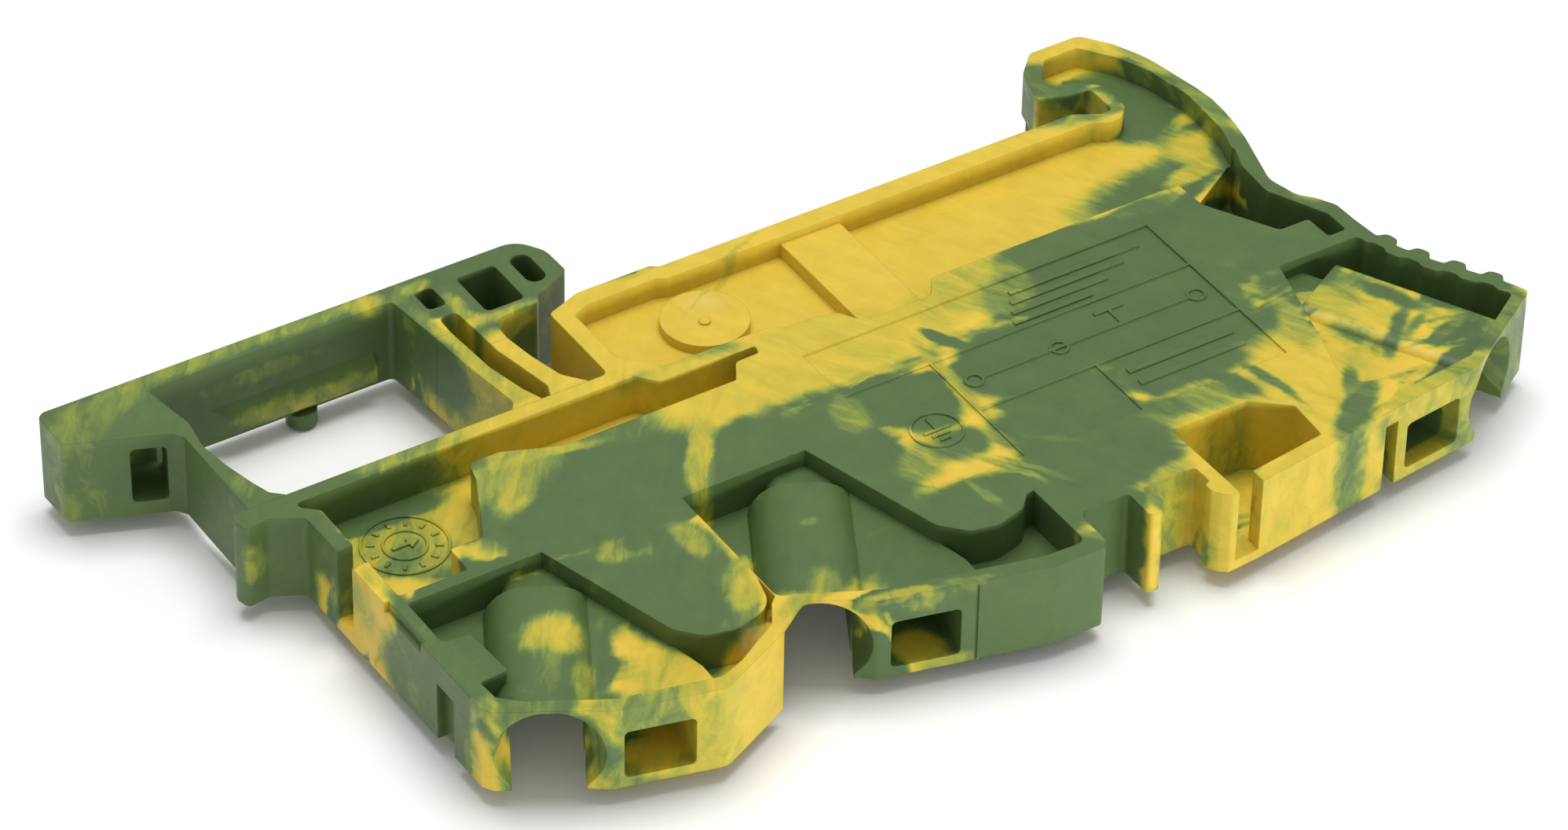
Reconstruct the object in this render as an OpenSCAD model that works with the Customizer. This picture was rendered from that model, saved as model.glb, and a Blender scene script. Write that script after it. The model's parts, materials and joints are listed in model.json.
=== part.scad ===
// Push-in protective-earth terminal block for a 35 mm rail, lying on its open side.
// X runs along the rail's width, +Y points to the rail, Z is the block's thickness.

/* [Block] */
// thickness of the moulding, one pitch less a little play
block_t = 5.1; // [4:0.1:8]
// how far the locating peg stands out of the open side
peg_reach = 0.85; // [0.3:0.05:1.5]
// diameter of the locating peg
peg_d = 1.7; // [1:0.1:2.5]
// wall over the chambers on the closed side
skin = 0.8; // [0.5:0.05:1.2]

/* [Recesses] */
// floor height of the channel at the window side
channel_floor = 2.7; // [1.5:0.1:4]
// floor height of the panel under the rail seat
panel_floor = 3.8; // [2.6:0.1:4.2]
// floor height of the small deep recess beside the rail hook
deep_floor = 1.2; // [0.6:0.1:2.5]
// floor height of the pockets round the wire funnels
pocket_floor = 2.8; // [1.2:0.1:4]
// floor height of the six-sided marker pocket
marker_floor = 0.6; // [0.4:0.1:2]
// depth of the blank nameplate
plate_deep = 0.12; // [0:0.01:0.3]

/* [Wire entries] */
// half width of the wire channel
wire_half = 1.85; // [1:0.05:2.5]
// half width of the funnel at its mouth
mouth_half = 2.65; // [2:0.05:3]
// half width of the tube over a wire channel
tube_half = 2.85; // [2:0.05:3]
// height of the tubes over the open side
tube_top = 4.75; // [4:0.05:5.1]
// edge radius along the top of a tube
tube_round = 2.2; // [0.5:0.05:2.3]
// lean of the wire entries from the rail's normal
wire_lean = 28; // [0:1:45]
// height of the channel beside a tube
lane_top = 3.95; // [3:0.05:5]
// distance between the two like entries
entry_pitch = 15.6; // [10:0.1:20]

/* [Metal parts] */
// thickness of the current bar
bar_t = 0.7; // [0.5:0.1:1.2]
// height of the bar's lower edge
metal_low = 0.5; // [0.2:0.1:1]
// height of the bar's upper edge
metal_high = 4.1; // [2:0.1:4.2]
// height of the springs' upper edge
spring_high = 3.3; // [2:0.1:3.4]
// thickness of the clamp springs
spring_t = 0.35; // [0.2:0.05:0.6]
// thickness of the foot plate
foot_t = 1.2; // [0.6:0.1:1.6]

/* [Hidden] */
// roof of the room round the foot plate
foot_roof = 2.1;
// middle of the block's box in the drawing frame of the outlines below
mid_x = 3.14;
mid_y = 1.3;
// height of the open side: the peg's tip is at zero
low = peg_reach;
high = peg_reach + block_t;
eps = 0.01;
pale = [0.82, 0.70, 0.30];
leaf_green = [0.40, 0.50, 0.34];
tin = [0.78, 0.79, 0.80];
steel = [0.70, 0.71, 0.73];
$fn = 32;

// points of an arc of radius r that rounds the corner b between a and c
function unit(v) = v / norm(v);
function corner(a, b, c, r) =
    let (u = unit(a - b), w = unit(c - b), half = acos(max(-1, min(1, u * w))) / 2,
        t = min(r / tan(half), norm(a - b) * 0.48, norm(c - b) * 0.48),
        q = t * tan(half), m = b + unit(u + w) * q / sin(half),
        s = b + u * t - m, e = b + w * t - m,
        turn = atan2(s[0] * e[1] - s[1] * e[0], s * e),
        n = max(1, ceil(abs(turn) / (r > 0.9 ? 10 : 22))))
    [for (i = [0:n]) let (g = turn * i / n)
        m + [s[0] * cos(g) - s[1] * sin(g), s[0] * sin(g) + s[1] * cos(g)]];
function flat(p) = [p[0], p[1]];
function straight(a, b, c) = abs(unit(a - b) * unit(c - b)) > 0.9995;
// outline from [x, y, corner radius] points
function rounded(p) = let (n = len(p)) [for (i = [0:n - 1])
    let (a = flat(p[(i + n - 1) % n]), b = flat(p[i]), c = flat(p[(i + 1) % n]), r = p[i][2])
    each (r == undef || r < 0.02 || straight(a, b, c) ? [b] : corner(a, b, c, r))];
function mirrored(p, about) = [for (i = [len(p) - 1:-1:0]) [2 * about - p[i][0], p[i][1], p[i][2]]];
function moved(p, dx, dy) = [for (v = p) [v[0] + dx, v[1] + dy, v[2]]];

module slab(p, z0, z1) {
    translate([-mid_x, -mid_y, low + z0])
        linear_extrude(height = z1 - z0)
            polygon(rounded(p));
}

// ---- outlines: [x, y, corner radius], X along the block, Y to the rail ----

front_edge = [
    [-24.8, -11.6, 0.3], [-24.45, -12.2, 0.35], [-20.15, -14.6, 0.2], [-19.5, -15.1, 0.5],
    [-13.65, -16.6, 0.8], [-9.35, -14.55, 0.5], [-7.0, -12.95, 0.2], [-4.5, -14.45, 0.2],
    [-3.9, -14.95, 0.5], [5.3, -17.25, 1], [8.15, -17.3, 0.3], [8.45, -16.8, 0.3],
    [8.45, -14.8, 0.2], [8.8, -14.4, 0.2]];
bridge_edge = [
    [11.5, -14.4, 0.25], [11.5, -16.5, 0.25], [12.3, -16.5, 0.2], [12.3, -16.0, 0.1],
    [12.7, -15.8, 0.15], [12.7, -15.1, 0.15], [12.35, -14.9, 0.1], [12.35, -14.4, 0.25],
    [15.6, -14.4, 0.25], [15.6, -15.7, 0.1], [15.25, -15.85, 0.12], [15.25, -16.4, 0.12],
    [15.55, -16.9, 0.2], [16.0, -17.3, 0.25]];
right_front = [
    [17.9, -17.15, 0], [27.5, -15.85, 1], [33.1, -15.2, 0.5], [36.8, -12.95, 0.5],
    [39.15, -11.5, 0.35]];
// one bump of the finger grip from foot v to foot w: q is [along, out, radius]
function grip_bump(v, w, q) = let (d = unit(w - v))
    [for (c = q) [v[0] + d[0] * c[0] + d[1] * c[1], v[1] + d[1] * c[0] - d[0] * c[1], c[2]]];
grip_foot = [[38.55, -10.2], [37.45, -8.4], [36.35, -6.6], [35.5, -4.75], [35.0, -3.1]];
grip_out = [[0.1, 0, 0.2], [0.3, 0.5, 0.35], [1.05, 0.5, 0.4], [1.35, 0, 0.25]];
grip_in = [[0.1, -0.8, 0.3], [0.45, -0.58, 0.4], [1.1, -0.58, 0.4], [1.45, -0.8, 0.3]];
grip_edge = [for (i = [0:3]) each grip_bump(grip_foot[i], grip_foot[i + 1], grip_out)];
back_edge = [
    [34.95, -1.7, 1], [34.9, -0.1, 0.8], [34.3, 0.95, 0.8], [33.6, 1.75, 1], [33.15, 3.6, 1.5],
    [34.4, 7.95, 8],
    [34.85, 11.2, 8], [33.9, 16.3, 6], [33.0, 18.3, 1.5], [31.8, 19.9, 0.7], [28.6, 19.9, 0.5],
    [27.2, 18.5, 0.5], [26.5, 16.1, 0.25], [28.3, 15.5, 0.4], [29.55, 15.45, 0.35],
    [29.55, 13.2, 0.35], [28.8, 13.2, 0.3], [27.3, 14.0, 0.3]];
seat_edge = [
    [1.1, 14.0, 0.2], [0.6, 14.3, 0.2], [-3.8, 14.3, 0.8], [-5.95, 13.5, 0.3],
    [-5.95, 7.6, 0.4]];
left_edge = [
    [-24.9, 7.6, 0], [-28.0, 7.6, 0.4], [-28.2, 7.0, 0.3], [-28.0, 6.2, 0.3], [-26.65, 6.4, 0.5],
    [-24.95, 5.5, 0.5], [-24.9, 0, 0]];
body_edge = concat(front_edge, bridge_edge, right_front, grip_edge, back_edge, seat_edge, left_edge);

channel_edge = [
    [-25.3, 6.75, 0.3], [-4.86, 6.7, 0.3], [-4.0, 5.65, 0.4], [1.8, 5.65, 0.15],
    [1.65, 5.05, 0.15], [0.2, 5.0, 0.4], [-0.55, 3.72, 0.2], [-10.9, 3.7, 0.6],
    [-14.0, 4.97, 0.6], [-15.8, 4.97, 0.5], [-16.1, 3.7, 0.5], [-18.1, -0.42, 0.3],
    [-20.0, -0.42, 0.15], [-20.05, -2.24, 0.15], [-24.0, -2.24, 0.2], [-24.0, 5.6, 0.3]];
panel_edge = [
    [-4.9, 12.7, 0.3], [-3.9, 13.15, 0.4], [0.4, 13.2, 0.3], [0.95, 12.9, 0.2], [27.9, 12.75, 0.5],
    [28.7, 12.3, 0.4], [29.5, 12.3, 0.5], [30.3, 13.1, 0.5], [30.3, 15.4, 0.6], [28.9, 16.45, 0.3],
    [27.75, 16.6, 0.2], [27.8, 17.5, 0.3], [28.9, 18.95, 0.3], [31.1, 19.0, 0.4], [32.5, 17.1, 1],
    [33.3, 15.2, 2], [33.85, 12.2, 3], [33.6, 8.7, 3], [32.6, 5.4, 1], [32.4, 2.9, 1],
    [34.05, -0.5, 0.5], [34.05, -2.15, 0.2], [32.9, -2.15, 0.2], [32.85, -0.38, 0.2],
    [31.0, -0.36, 0.4], [28.75, 3.6, 0.4], [28.65, 5.76, 0.3], [12.8, 5.76, 0.4],
    [12.0, 4.5, 0.4], [7.8, 4.45, 0.4], [7.0, 5.76, 0.4], [5.8, 6.1, 0.3], [3.7, 6.15, 0.2],
    [3.5, 6.6, 0.2], [-3.1, 6.65, 0.4], [-4.85, 8.6, 1.2]];
deep_edge = [
    [33.35, 7.3, 0.2], [32.6, 5.4, 1], [32.4, 2.9, 1],
    [34.05, -0.5, 0.5], [34.05, -2.15, 0.2], [32.9, -2.15, 0.2], [32.85, -0.38, 0.2],
    [31.0, -0.36, 0.4], [28.75, 3.6, 0.4], [28.7, 4.5, 0]];
pocket_1_edge = [
    [-23.93, -2.95, 0.2], [-23.93, -6.4, 0.35], [-22.4, -6.6, 0.25], [-22.2, -9.85, 0.15],
    [-23.85, -9.95, 0.2], [-23.75, -11.3, 0.3], [-22.7, -12.3, 0.3], [-18.8, -14.43, 0.3],
    [-13.45, -15.7, 0.6], [-12.0, -15.15, 0.3], [-9.3, -13.6, 0.8], [-8.5, -12.3, 0.3],
    [-8.05, -11.9, 0.2], [-8.05, -2.95, 0.15]];
pocket_2_edge = moved([
    [-23.6, -2.95, 0.2], [-23.6, -12.0, 0.6], [-22.7, -12.3, 0.3], [-18.9, -14.2, 0.3],
    [-10.5, -16.28, 0.8], [-8.05, -16.4, 0.5], [-8.05, -2.95, 0.15]], entry_pitch, 0);
tongue_edge = [
    [-16.2, -2.9, 0], [-16.2, -3.0, 0], [-13.75, -11.4, 1.2], [-12.7, -12.6, 1],
    [-10.9, -13.05, 1.4], [-8.6, -12.4, 1.6], [-8.05, -10.2, 1], [-8.05, -2.0, 0],
    [-16.2, -2.0, 0]];
tongue_2_edge = [
    [-0.6, -2.9, 0], [-0.6, -3.0, 0], [1.8, -11.4, 1.2], [3.0, -12.7, 1], [4.6, -13.05, 1.4],
    [6.3, -12.6, 1], [7.1, -11.75, 0.2], [8.2, -11.6, 0], [8.2, -2.0, 0], [-0.6, -2.0, 0]];
pocket_3_edge = concat([
    [29.1, -2.95, 0.15], [27.4, -9.0, 0.1], [26.55, -11.7, 0.4], [27.0, -13.2, 0.4],
    [28.3, -13.55, 0.4], [29.2, -14.75, 0.3], [33.2, -14.3, 0.3],
    [36.4, -12.4, 0.3], [38.3, -11.2, 0.3]],
    [for (i = [0:3]) each grip_bump(grip_foot[i], grip_foot[i + 1], grip_in)],
    [[34.2, -2.95, 0.3]]);
marker_edge = [
    [16.3, -11.4, 0.15], [21.0, -11.4, 0.2], [22.9, -13.0, 0.2], [22.7, -15.6, 0.2],
    [17.95, -16.2, 0.1], [17.95, -18.0, 0], [16.4, -18.0, 0], [16.4, -16.6, 0.1]];

lane_1_edge = [
    [-19.6, -14.8, 0], [-13.3, -16.2, 0], [-13.2, -13.4, 0.3], [-13.7, -11.2, 0.3],
    [-15.3, -5.4, 0], [-17.5, -6.0, 0]];
lane_3_edge = [
    [27.2, -8.6, 0], [26.0, -11.7, 0], [26.6, -13.8, 0], [28.8, -15.0, 0], [34.6, -14.9, 0],
    [31.8, -6.0, 0], [28.8, -4.2, 0.3]];

latch_edge = [
    [-32.4, 19.85, 0.5], [-4.35, 19.85, 1.5], [-3.35, 18.3, 1.5], [-3.3, 16.2, 0.5],
    [-5.6, 15.25, 0.2], [-5.95, 14.7, 0.3], [-8.75, 14.55, 1.25], [-8.88, 12.9, 0],
    [-9.87, 12.9, 0], [-10.05, 16.2, 0.4], [-11.1, 16.2, 0.4], [-11.15, 14.8, 0],
    [-12.05, 14.8, 0], [-12.5, 18.7, 0.35], [-26.95, 18.7, 0.35], [-26.35, 15.2, 0.8],
    [-26.5, 14.3, 0], [-27.1, 14.3, 0], [-27.5, 14.9, 0.6], [-32.7, 17.0, 0.5],
    [-32.75, 19.5, 0.3]];
ledge_cut = [[18.25, 0.55], [18.25, 1.4], [18.7, 2.25], [19.0, 2.25], [19.0, 0.55]];
leaf_outer_edge = [
    [-27.1, 14.3, 0], [-27.1, 7.6, 0], [-24.9, 7.6, 0], [-25.55, 8.2, 0.4], [-25.9, 9.3, 0.8],
    [-26.35, 11.2, 2], [-26.65, 13.2, 2], [-26.5, 14.3, 0]];
leaf_middle_edge = [
    [-12.05, 14.8, 0], [-11.87, 12.3, 2], [-11.3, 8.1, 0.6], [-11.7, 7.6, 0], [-9.9, 7.6, 0],
    [-10.35, 8.8, 0.8], [-10.9, 11.2, 2], [-11.15, 14.8, 0]];
leaf_inner_edge = [
    [-9.87, 12.9, 0], [-9.85, 12.3, 0.5], [-9.1, 8.4, 0.6], [-9.4, 7.6, 0], [-7.1, 7.6, 0],
    [-8.07, 8.8, 0.8], [-8.6, 11.0, 2], [-8.88, 12.9, 0]];

// ---- wire entries: a frame on each mouth, its own +Y along the wire ----

mouth_1 = [-21.95, -13.3];
mouth_2 = [-21.95 + entry_pitch, -13.25];
mouth_3 = [35.0, -14.0];

module on_mouth(at, lean) {
    translate([at[0] - mid_x, at[1] - mid_y, low])
        rotate([0, 0, -lean])
            children();
}

// arch shape in X and Z, run along the wire from y0 to y1
module arch_run(half, top, round_r, y0, y1) {
    translate([0, y1, 0])
        rotate([90, 0, 0])
            linear_extrude(height = y1 - y0)
                polygon(rounded([[-half, -1, 0], [half, -1, 0], [half, top, round_r],
                    [-half, top, round_r]]));
}

module tube(at, lean, run, half = tube_half, round_r = tube_round) {
    on_mouth(at, lean)
        intersection() {
            arch_run(half, tube_top, round_r, 0.15, run);
            translate([-5, -1, pocket_floor - 0.5])
                cube([10, run + 2, block_t]);
        }
    // lower neck between the tube and the plateau
    on_mouth(at, lean)
        intersection() {
            arch_run(1.9, 4.05, 0.8, run - 1, run + 3.2);
            translate([-5, run - 2, pocket_floor - 0.5])
                cube([10, 6, block_t]);
        }
}

module wire_way(at, lean) {
    on_mouth(at, lean) {
        arch_run(wire_half, 4.25, 1.6, -1.5, 9.2);
        arch_run(1.35, 3.5, 0.6, 9, 14.6);
    }
    on_mouth(at, lean)
        intersection() {
            translate([0, -2.2, 2.25])
                rotate([-90, 0, 0])
                    cylinder(h = 4.2, r1 = mouth_half + 0.95, r2 = wire_half - 0.1, $fn = 48);
            translate([-4, -3, -1])
                cube([8, 6, 5.95]);
        }
}

// slot for the screwdriver: from the front face at x0..x1 back to the clamp
module driver_way(x0, x1, y_front, lean, run) {
    half = (x1 - x0) / 2;
    translate([(x0 + x1) / 2 - mid_x, y_front - mid_y, low])
        rotate([90, 0, -lean]) {
            translate([0, 0, -2])
                linear_extrude(height = 4)
                    polygon(rounded([[-half, 0.6, 0.3], [half, 0.6, 0.3], [half, 3.55, 0.3],
                        [-half, 3.55, 0.3]]));
            translate([0, 0, -0.8 - run])
                linear_extrude(height = run)
                    polygon(rounded([[-half, 0.6, 0.3], [half, 0.6, 0.3], [half, 3.2, 0.3],
                        [-half, 3.2, 0.3]]));
        }
}

// ---- chambers in the open side ----

chamber_edge = [
    [-19.1, -0.95, 0.2], [-19.1, -2.2, 0.2], [-15.7, -2.2, 0], [-13.0, -11.2, 1],
    [-12.2, -12.0, 0.8], [-10.9, -12.35, 1], [-9.3, -11.8, 1], [-8.85, -10.2, 0.6],
    [-8.85, -2.2, 0], [-0.1, -2.2, 0], [2.5, -11.2, 1], [3.3, -12.0, 0.8], [4.6, -12.35, 1],
    [6.1, -11.8, 1], [6.7, -10.2, 0.6], [6.7, -2.2, 0.3], [21.95, -2.2, 0.3],
    [21.95, -10.9, 0.8], [22.4, -12.3, 1], [23.6, -12.85, 1], [25.2, -12.7, 1], [26.6, -11.0, 0.6],
    [26.6, -9.0, 0.3], [28.3, -2.95, 0], [28.3, -2.2, 0], [32.1, -2.2, 0.2], [32.1, -1.1, 0.2],
    [30.75, -1.1, 0.3], [28.35, 3.0, 0.3], [10.9, 3.0, 0.2], [10.9, 4.2, 0], [8.9, 4.2, 0],
    [8.9, 3.0, 0.2], [-15.45, 3.0, 0.3], [-17.75, -0.95, 0.2]];
// room for the moving limb of the first spring, from the wire to the bend
leg_room = [
    [-17.9, -2.0, 0], [-17.4, -3.0, 0.2], [-13.4, -9.8, 0.2], [-12.0, -9.8, 0], [-12.0, -2.0, 0]];
entry_turn = 6.525;
middle_1_edge = [
    [7.5, -3.0, 0.3], [14.1, -3.0, 0.3], [14.1, -13.6, 0.3], [8.6, -13.6, 0.3], [7.5, -11.0, 0.5]];
middle_2_edge = [
    [14.9, -3.0, 0.3], [21.15, -3.0, 0.3], [21.15, -10.6, 0.3], [15.6, -10.6, 0.3],
    [15.6, -13.6, 0.3], [14.9, -13.6, 0.2]];
foot_room = [
    [-4.1, 12.3, 0.3], [28.2, 12.3, 0.3], [28.2, 11.5, 0.2], [30.9, 11.5, 0.4], [31.1, 15.6, 0.5],
    [30.2, 17.2, 0.5], [28.4, 17.3, 0.3], [29.4, 18.2, 0.3], [30.8, 18.2, 0.4], [32.0, 16.2, 1],
    [33.0, 12.2, 2], [33.0, 9.2, 0.8], [32.4, 8.1, 0.4], [29.3, 6.6, 0.3], [12.0, 6.6, 0.3],
    [10.9, 6.0, 0.2], [10.9, 4.1, 0], [8.9, 4.1, 0], [8.9, 6.0, 0.2], [7.6, 6.7, 0.2],
    [4.6, 6.9, 0.3], [4.3, 7.4, 0.3], [-2.7, 7.5, 0.4], [-4.1, 9.0, 0.5]];
channel_room = [
    [-23.2, 5.9, 0.3], [-5.3, 5.9, 0.3], [-4.4, 4.85, 0.3], [-1.1, 4.85, 0.3], [-1.1, 4.6, 0.2],
    [-10.8, 4.5, 0.5], [-13.8, 5.75, 0.1], [-16.0, 5.75, 0.5], [-17.0, 3.9, 0.4],
    [-18.6, 0.35, 0.3], [-19.2, -1.4, 0.2], [-23.2, -1.4, 0.3]];
claw_gap = [[-4.1, 12.0, 0], [-1.6, 12.0, 0], [-1.6, 14.6, 0], [-4.4, 14.6, 0], [-4.4, 12.5, 0]];
hook_gap = [
    [25.8, 15.0, 0], [29.0, 15.0, 0], [29.0, 17.35, 0], [29.6, 18.3, 0], [28.9, 18.9, 0.3],
    [27.9, 20.5, 0], [25.8, 20.5, 0]];

// ---- nameplate ----
plate_x = 3.45;
plate_y = -9.15;
plate_w = 21.7;
plate_h = 12.8;

module bar_line(x, y, w, h) {
    translate([x - mid_x, y - mid_y, high - plate_deep - eps])
        cube([w, h, 0.1 + eps]);
}

module ring_line(x, y, r, w, z) {
    translate([x - mid_x, y - mid_y, z - eps])
        difference() {
            cylinder(h = 0.1 + eps, r = r, $fn = 40);
            translate([0, 0, -1])
                cylinder(h = 3, r = r - w, $fn = 40);
        }
}

// plain lines, an earth mark and a plain connection diagram
module plate_marks() {
    z = high - plate_deep;
    // dividers
    bar_line(plate_x, -0.33, plate_w, 0.16);
    bar_line(8.72, plate_y, 0.16, 8.85);
    bar_line(8.85, -4.88, 16.3, 0.16);
    bar_line(16.02, plate_y, 0.16, 4.3);
    // earth mark
    ring_line(6.1, -5.0, 1.45, 0.16, z);
    bar_line(6.02, -5.0, 0.16, 1.0);
    bar_line(5.3, -5.1, 1.6, 0.16);
    bar_line(5.55, -5.5, 1.1, 0.16);
    bar_line(5.8, -5.9, 0.6, 0.16);
    // connection diagram: one line, three entries and the foot
    bar_line(10.4, -2.7, 13.2, 0.2);
    for (x = [10.0, 15.3, 24.0])
        ring_line(x, -2.6, 0.55, 0.16, z);
    bar_line(19.2, -2.7, 0.2, 1.4);
    bar_line(18.4, -1.35, 1.8, 0.2);
    // plain strokes
    for (i = [0:3])
        bar_line(15.6 - i * 0.4, 2.4 - i * 0.75, 8.2 - i * 1.1, 0.3);
    for (i = [0:1])
        bar_line(17.2, -6.3 - i * 1.1, 6.6, 0.4);
}

module date_ring() {
    z = low + channel_floor;
    ring_line(-20.4, 3.5, 2.35, 0.14, z);
    ring_line(-20.4, 3.5, 1.2, 0.12, z);
    translate([-20.4 - mid_x, 3.5 - mid_y, z - eps])
        for (i = [0:11])
            rotate([0, 0, i * 30])
                translate([1.55, -0.09, 0])
                    cube([0.4, 0.18, 0.1]);
    translate([-20.4 - mid_x, 3.5 - mid_y, z - eps])
        linear_extrude(height = 0.14)
            polygon([[-0.75, -0.1], [0.2, -0.1], [0.2, -0.4], [0.8, 0], [0.2, 0.4], [0.2, 0.1],
                [-0.75, 0.1]]);
}

module housing_body() {
    difference() {
        slab(body_edge, 0, block_t);
        slab(channel_edge, channel_floor, block_t + 1);
        slab(panel_edge, panel_floor, block_t + 1);
        slab(deep_edge, deep_floor, block_t + 1);
        slab(pocket_1_edge, pocket_floor, block_t + 1);
        slab(pocket_2_edge, pocket_floor, block_t + 1);
        slab(pocket_3_edge, pocket_floor, block_t + 1);
        slab(marker_edge, marker_floor, block_t + 1);
    }
    // spring chambers that stand up in the pockets
    slab(tongue_edge, pocket_floor - 0.2, block_t);
    slab(tongue_2_edge, pocket_floor - 0.2, block_t);
    slab(lane_1_edge, pocket_floor - 0.2, lane_top);
    slab(moved(lane_1_edge, entry_pitch, 0.05), pocket_floor - 0.2, lane_top);
    slab(lane_3_edge, pocket_floor - 0.2, lane_top + 0.4);
    // wire tubes, kept inside the pockets
    intersection() {
        union() {
            tube(mouth_1, wire_lean, 9.6);
            tube(mouth_2, wire_lean, 9.6);
            tube(mouth_3, -wire_lean, 10.2, 2.6, 0.8);
        }
        slab(body_edge, 0, block_t);
    }
    // dished boss and raised stem cover on the panel
    translate([1.3 - mid_x, 9.8 - mid_y, low + panel_floor - 0.1])
        cylinder(h = 0.65, r = 2.4, $fn = 48);
    slab([[7.9, 4.3, 0], [11.6, 4.3, 0], [11.6, 13.0, 0], [7.9, 13.0, 0]], panel_floor - 0.1,
        panel_floor + 0.85);
}

module housing() {
    color(pale)
        difference() {
            union() {
                difference() {
                    housing_body();
                    // nameplate
                    translate([plate_x - mid_x, plate_y - mid_y, high - plate_deep])
                        cube([plate_w, plate_h, 2]);
                    // dish of the boss
                    translate([1.3 - mid_x, 9.8 - mid_y, low + panel_floor + 0.3])
                        cylinder(h = 0.5, r1 = 1.3, r2 = 2.6, $fn = 48);
                }
                // stub left by the mould's gate
                translate([1.3 - mid_x, 9.8 - mid_y, low + panel_floor])
                    cylinder(h = 0.42, r = 0.32, $fn = 24);
                plate_marks();
                date_ring();
            }
            // chambers, open below
            slab(chamber_edge, -1, block_t - skin);
            slab(leg_room, -1, 3.45);
            slab(moved(leg_room, entry_pitch, 0.05), -1, 3.45);
            slab(moved(mirrored(leg_room, entry_turn), 0, -0.7), -1, 3.45);
            slab(middle_1_edge, -1, block_t - skin);
            slab(middle_2_edge, -1, block_t - skin);
            slab(foot_room, -1, foot_roof);
            slab(channel_room, -1, channel_floor - skin);
            slab(claw_gap, -1, 1.9);
            slab(hook_gap, -1, 2.4);
            // wire entries
            wire_way(mouth_1, wire_lean);
            wire_way(mouth_2, wire_lean);
            wire_way(mouth_3, -wire_lean);
            // screwdriver entries
            driver_way(-18.85, -15.15, -15.6, 13, 7.5);
            driver_way(-18.85 + entry_pitch, -15.15 + entry_pitch, -15.6, 13, 7.5);
            driver_way(28.2, 31.9, -15.5, -13, 7.5);
            // narrow slit beside the third screwdriver entry
            slab([[26.5, -17, 0], [27.5, -17, 0], [27.5, -13.6, 0], [26.9, -13.6, 0]], -1, 4.15);
            // notch in the left wall
            slab([[-26, -7.4, 0], [-24.35, -7.4, 0], [-24.35, -9.05, 0], [-26, -9.05, 0]], -1, 3.6);
            // shallow step high on the left wall
            slab([[-26, -2.3, 0], [-24.6, -2.3, 0], [-24.6, -5.95, 0], [-26, -5.95, 0]], 4.5, 6);
            // gap in the left rib
            slab([[-26, 2.4, 0], [-23.9, 2.4, 0], [-23.9, 0.85, 0], [-26, 0.85, 0]], 0.7, 6);
            // fine joint line down the front
            slab([[1.13, -18, 0], [1.27, -18, 0], [1.27, -16.15, 0], [1.13, -16.1, 0]], -1, 4.9);
        }
}

// ---- latch ----

module peg() {
    translate([-17.85 - mid_x, 19.05 - mid_y, 0])
        cylinder(h = low + 0.02, d = peg_d, $fn = 32);
}

module rail_latch() {
    color(leaf_green)
        difference() {
            union() {
                slab(latch_edge, 0, block_t);
                // ledge along the foot of the beam
                intersection() {
                    translate([-24.4 - mid_x, -mid_y, low])
                        rotate([90, 0, 90])
                            linear_extrude(height = 10.8)
                                polygon(ledge_cut);
                    slab([[-24.3, 19, 0], [-23.4, 18.7, 0], [-21.7, 18.1, 0], [-13.65, 18.1, 0],
                        [-13.65, 19, 0]], 0, block_t);
                }
                peg();
            }
            // screwdriver slot in the lever
            translate([-29.85 - mid_x, 14.9 - mid_y, low + 0.85])
                rotate([90, 0, -21])
                    translate([0, 0, -4.0])
                        linear_extrude(height = 4.6)
                            polygon(rounded([[0, 0, 0.3], [1.9, 0, 0.3], [1.9, 3.45, 0.3],
                                [0, 3.45, 0.3]]));
            // pockets in the latch head
            slab([[-11.2, 17.0, 0.3], [-10.1, 17.0, 0.3], [-10.1, 18.7, 0.3], [-11.2, 18.7, 0.3]],
                1.0, 6);
            slab([[-8.65, 15.35, 0.3], [-6.35, 15.35, 0.3], [-6.35, 18.65, 0.3],
                [-8.65, 18.65, 0.3]], 0.8, 6);
            slab([[-5.5, 16.2, 0.55], [-4.35, 16.2, 0.55], [-4.35, 18.75, 0.55],
                [-5.5, 18.75, 0.55]], 0.8, 6);
        }
}

module latch_leaf_outer() {
    color(leaf_green)
        slab(leaf_outer_edge, 0, block_t);
}

module latch_leaf_middle() {
    color(leaf_green)
        slab(leaf_middle_edge, 0, block_t);
}

module latch_leaf_inner() {
    color(pale)
        slab(leaf_inner_edge, 0, block_t);
}

// ---- metal parts ----

bar_y = 2.0;
// centre and middle radius of the bend of the first spring
bend = [-10.9, -10.1];
bend_r = 1.6;
rivet_d = 1.2;
stem_x = 9.9;

// bar with a leaning contact leg for each entry
bar_edge = [
    [-17.9, -1.65, 0], [-17.3, -1.95, 0], [-15.15, bar_y, 0], [-0.4, bar_y, 0], [-2.3, -1.6, 0],
    [-1.7, -1.9, 0], [0.4, bar_y, 0], [27.85, bar_y, 0], [30.05, -2.1, 0], [30.85, -2.1, 0],
    [28.25, bar_y + bar_t, 0], [-15.55, bar_y + bar_t, 0]];

module rivet_row(d, y0, y1) {
    for (z = [1.35, 3.15])
        translate([stem_x - mid_x, y0 - mid_y, low + z])
            rotate([-90, 0, 0])
                cylinder(h = y1 - y0, d = d, $fn = 32);
}

module current_bar() {
    color(tin)
        difference() {
            slab(bar_edge, metal_low, metal_high);
            rivet_row(rivet_d, bar_y - 1, bar_y + 2);
        }
}

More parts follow.
